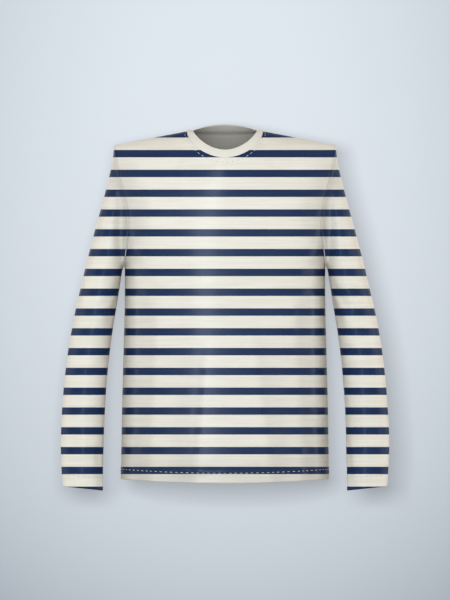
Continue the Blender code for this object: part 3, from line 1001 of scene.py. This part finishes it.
def stitchMesh(name, lines):
    # each line is (points, normals)
    around = np.radians([0, 60, 120, 180, 240, 300])[:, None]
    half = sewing["threadWidth"] / 2 * np.array([0.35, 0.9, 1.0, 0.9, 0.35])[:, None, None]
    lift = np.array([-0.00035, 0.00005, 0.00016, 0.00005, -0.00035])[:, None]
    rings, sides = len(half), len(around)
    points, faces = [], []
    for line, ways in lines:
        length = pathLength(line)
        count = int(round(length[-1] / sewing["stitchPitch"]))
        for k in range(count):
            at = (k + 0.5) * length[-1] / count + np.linspace(-0.5, 0.5, rings) * sewing["stitchLength"]
            centre, way = (np.stack([np.interp(at, length, part[:, axis]) for axis in range(3)], axis=-1)
                           for part in (line, ways))
            way = unit(way)
            across = unit(np.cross(way, unit(np.gradient(centre, axis=0))))[:, None]
            middle, way = (centre + way * lift)[:, None], way[:, None]
            first = len(points) * rings * sides
            points.append(middle + across * np.cos(around) * half + way * np.sin(around) * half * 0.6)
            number = first + np.arange(rings * sides).reshape(rings, sides)
            beside = np.roll(number, -1, axis=1)
            walls = np.stack([number[:-1], beside[:-1], beside[1:], number[1:]], axis=-1)
            faces += walls.reshape(-1, 4).tolist() + [number[0, ::-1].tolist(), number[-1].tolist()]
    return smoothMesh(name, np.array(points).reshape(-1, 3), faces)


def neckStitchLines():
    width = neckStitchWidth(neckSeam[:, 0] / (shirt["neckBreadth"] / 2))
    ring = closedLine(neckSeam - neckOnward * width[:, None])
    half = 2 * weave["neckColumns"]
    return [layOn(ring[:half + 1], frontOuter, frontNormals), layOn(ring[half:], backOuter, backNormals)]


def edgeStitches(outer, normals, edge):
    # the line at its stitches' height over a piece's free edge, all round on a cuff
    line, ways = layOn(lineAt(outer[:40], sewing[edge + "StitchHeight"]), outer, normals)
    return [(closedLine(line), closedLine(ways)) if edge == "cuff" else (line, ways)]


stitching = {
    "hemStitchesFront": edgeStitches(frontOuter, frontNormals, "hem"),
    "hemStitchesBack": edgeStitches(backOuter, backNormals, "hem"),
    "cuffStitchesRight": edgeStitches(rightOuter, rightNormals, "cuff"),
    "cuffStitchesLeft": edgeStitches(leftOuter, leftNormals, "cuff"),
    "neckStitches": neckStitchLines(),
}
stitchPieces = {
    name: addPiece(name, stitchMesh(name, lines), None, [sewingThread])
    for name, lines in stitching.items()
}
print("stitches made:", sum(len(p.data.polygons) for p in stitchPieces.values()), "faces")

# the camera, as level and straight on as the photograph's
viewpoint = {"metresPerPixel": 0.00190909, "pictureHeight": 600, "shoulderRow": 131.6, "distance": 3.0}
cameraData = bpy.data.cameras.new("camera")
cameraData.type = "ORTHO"
cameraData.ortho_scale = viewpoint["metresPerPixel"] * viewpoint["pictureHeight"]
cameraData.clip_start, cameraData.clip_end = 0.05, 20
camera = addObject("camera", cameraData)
middleHeight = (viewpoint["shoulderRow"] - viewpoint["pictureHeight"] / 2) * viewpoint["metresPerPixel"]
camera.location = (0, -viewpoint["distance"], middleHeight)
camera.rotation_euler = (math.pi / 2, 0, 0)
bpy.context.scene.camera = camera

studio = {
    "world": (0.97, 0.985, 1.0),
    "worldStrength": 0.60,
    "backdrop": (0.750, 0.800, 0.850, 1),
    # the dark colour of the backdrop's painted shade towards its sides and bottom, and of the floor's random
    # mottle
    "paintedVignetteAndFloorMottle": (0.03, 0.05, 0.08, 1),
    "backdropGlow": 0.64,  # a light of its own, so that its shadows stay pale
    "backdropLit": 0.18,
    "backdropAt": 0.128,
    "floor": (0.50, 0.55, 0.60, 1),
    "floorAt": -1.10,
}
# name, degrees round to the right of the camera, degrees up, distance, height of its aim, width, height,
# brightness, colour
lamps = [
    ("stripLamp", -8.4, 0, 2.65, 0.55, 0.46, 3.6, 9.3, (0.85, 1.00, 1.14)),
    ("frontLamp", 0, 8, 3.4, -0.33, 4.4, 2.8, 0.57, (1.03, 1.00, 0.97)),
    ("leftLamp", -34, 10, 3.0, -0.33, 2.0, 2.8, 0.20, (1.04, 1.00, 0.96)),
    ("rightLamp", 34, 10, 3.0, -0.33, 2.0, 2.8, 0.20, (1.04, 1.00, 0.96)),
    ("farLeftLamp", -100, 0, 2.7, -0.60, 2.2, 2.4, 1.90, (1, 1, 1)),
    ("farRightLamp", 100, 0, 2.7, -0.60, 2.2, 2.4, 2.60, (1, 1, 1)),
    ("backdropLamp", -5.5, 3.7, 8.0, -0.33, 2.9, 1.7, 93.0, (1.00, 1.02, 1.06)),
    ("backLamp", 180, 24, 3.2, -0.33, 4.0, 2.6, 0.82, (1, 1, 1)),
]


def addLamp(name, turn, up, distance, aim, wide, high, brightness, colour):
    lamp = bpy.data.lights.new(name, "AREA")
    lamp.shape, lamp.size, lamp.size_y = "RECTANGLE", wide, high
    lamp.energy, lamp.color = brightness * math.pi * wide * high, colour
    made = addObject(name, lamp)
    a, e = math.radians(turn), math.radians(up)
    made.location = (distance * math.sin(a) * math.cos(e), -distance * math.cos(a) * math.cos(e),
                     aim + distance * math.sin(e))
    made.rotation_euler = (math.pi / 2 - e, 0, a)
    made.visible_camera = False
    return made


lampObjects = {row[0]: addLamp(*row) for row in lamps}

world = bpy.data.worlds.new("studio")
bpy.context.scene.world = world
world.use_nodes = True
worldNode = world.node_tree.nodes["Background"]
worldNode.inputs["Color"].default_value = (*studio["world"], 1)
worldNode.inputs["Strength"].default_value = studio["worldStrength"]


def flatSheet(name, corners, material):
    mesh = bpy.data.meshes.new(name)
    mesh.from_pydata(corners, [], [[0, 1, 2, 3]])
    mesh.materials.append(material)
    made = addObject(name, mesh)
    return made


def backdropFinish():
    finish = Finish("paleBackdrop")
    x, _, z = finish.parts(finish.place())
    # painted shade: the backdrop darkens towards its sides and bottom
    tall = (z + 0.05) * (z + 0.05)
    away = (x * x * 0.87 + tall * (0.25 + 0.25 * tall)).maths("MINIMUM", 0.5)
    colour = finish.mixed(away, studio["backdrop"], studio["paintedVignetteAndFloorMottle"])
    lit = finish.node("BsdfDiffuse", None, {"Color": colour})
    glow = finish.node("Emission", None, {"Color": colour, "Strength": studio["backdropGlow"]})
    shader = finish.node("MixShader", None, {0: 1 - studio["backdropLit"], 1: lit, 2: glow})
    clear = finish.node("BsdfTransparent")
    behind = finish.node("NewGeometry", take="Backfacing")
    return finish.toOutput(finish.node("MixShader", None, {0: behind, 1: shader, 2: clear}))


def floorFinish():
    finish = Finish("paleFloor")
    tint = finish.noise(finish.place(), 2.0, 2.0)
    colour = finish.mixed(tint * 0.05, studio["floor"], studio["paintedVignetteAndFloorMottle"])
    return finish.toOutput(finish.node("BsdfDiffuse", None, {"Color": colour}))


at, low = studio["backdropAt"], studio["floorAt"]
backdrop = flatSheet("backdrop", [(-4, at, low), (4, at, low), (4, at, 4), (-4, at, 4)], backdropFinish())
for ray in ("diffuse", "glossy", "transmission", "volume_scatter", "shadow"):
    setattr(backdrop, "visible_" + ray, False)
# the backdrop's lamp lights nothing else, and the others leave the backdrop out
for name, state in (("backdropOnly", "INCLUDE"), ("allButBackdrop", "EXCLUDE")):
    receivers = bpy.data.collections.new(name)
    receivers.objects.link(backdrop)
    receivers.collection_objects[0].light_linking.link_state = state
    for lampName, lampObject in lampObjects.items():
        if (lampName == "backdropLamp") == (state == "INCLUDE"):
            lampObject.light_linking.receiver_collection = receivers
floor = flatSheet("floor", [(-6, -6, low), (6, -6, low), (6, 6, low), (-6, 6, low)], floorFinish())
bpy.context.scene.view_settings.view_transform = "Standard"
print("studio made")
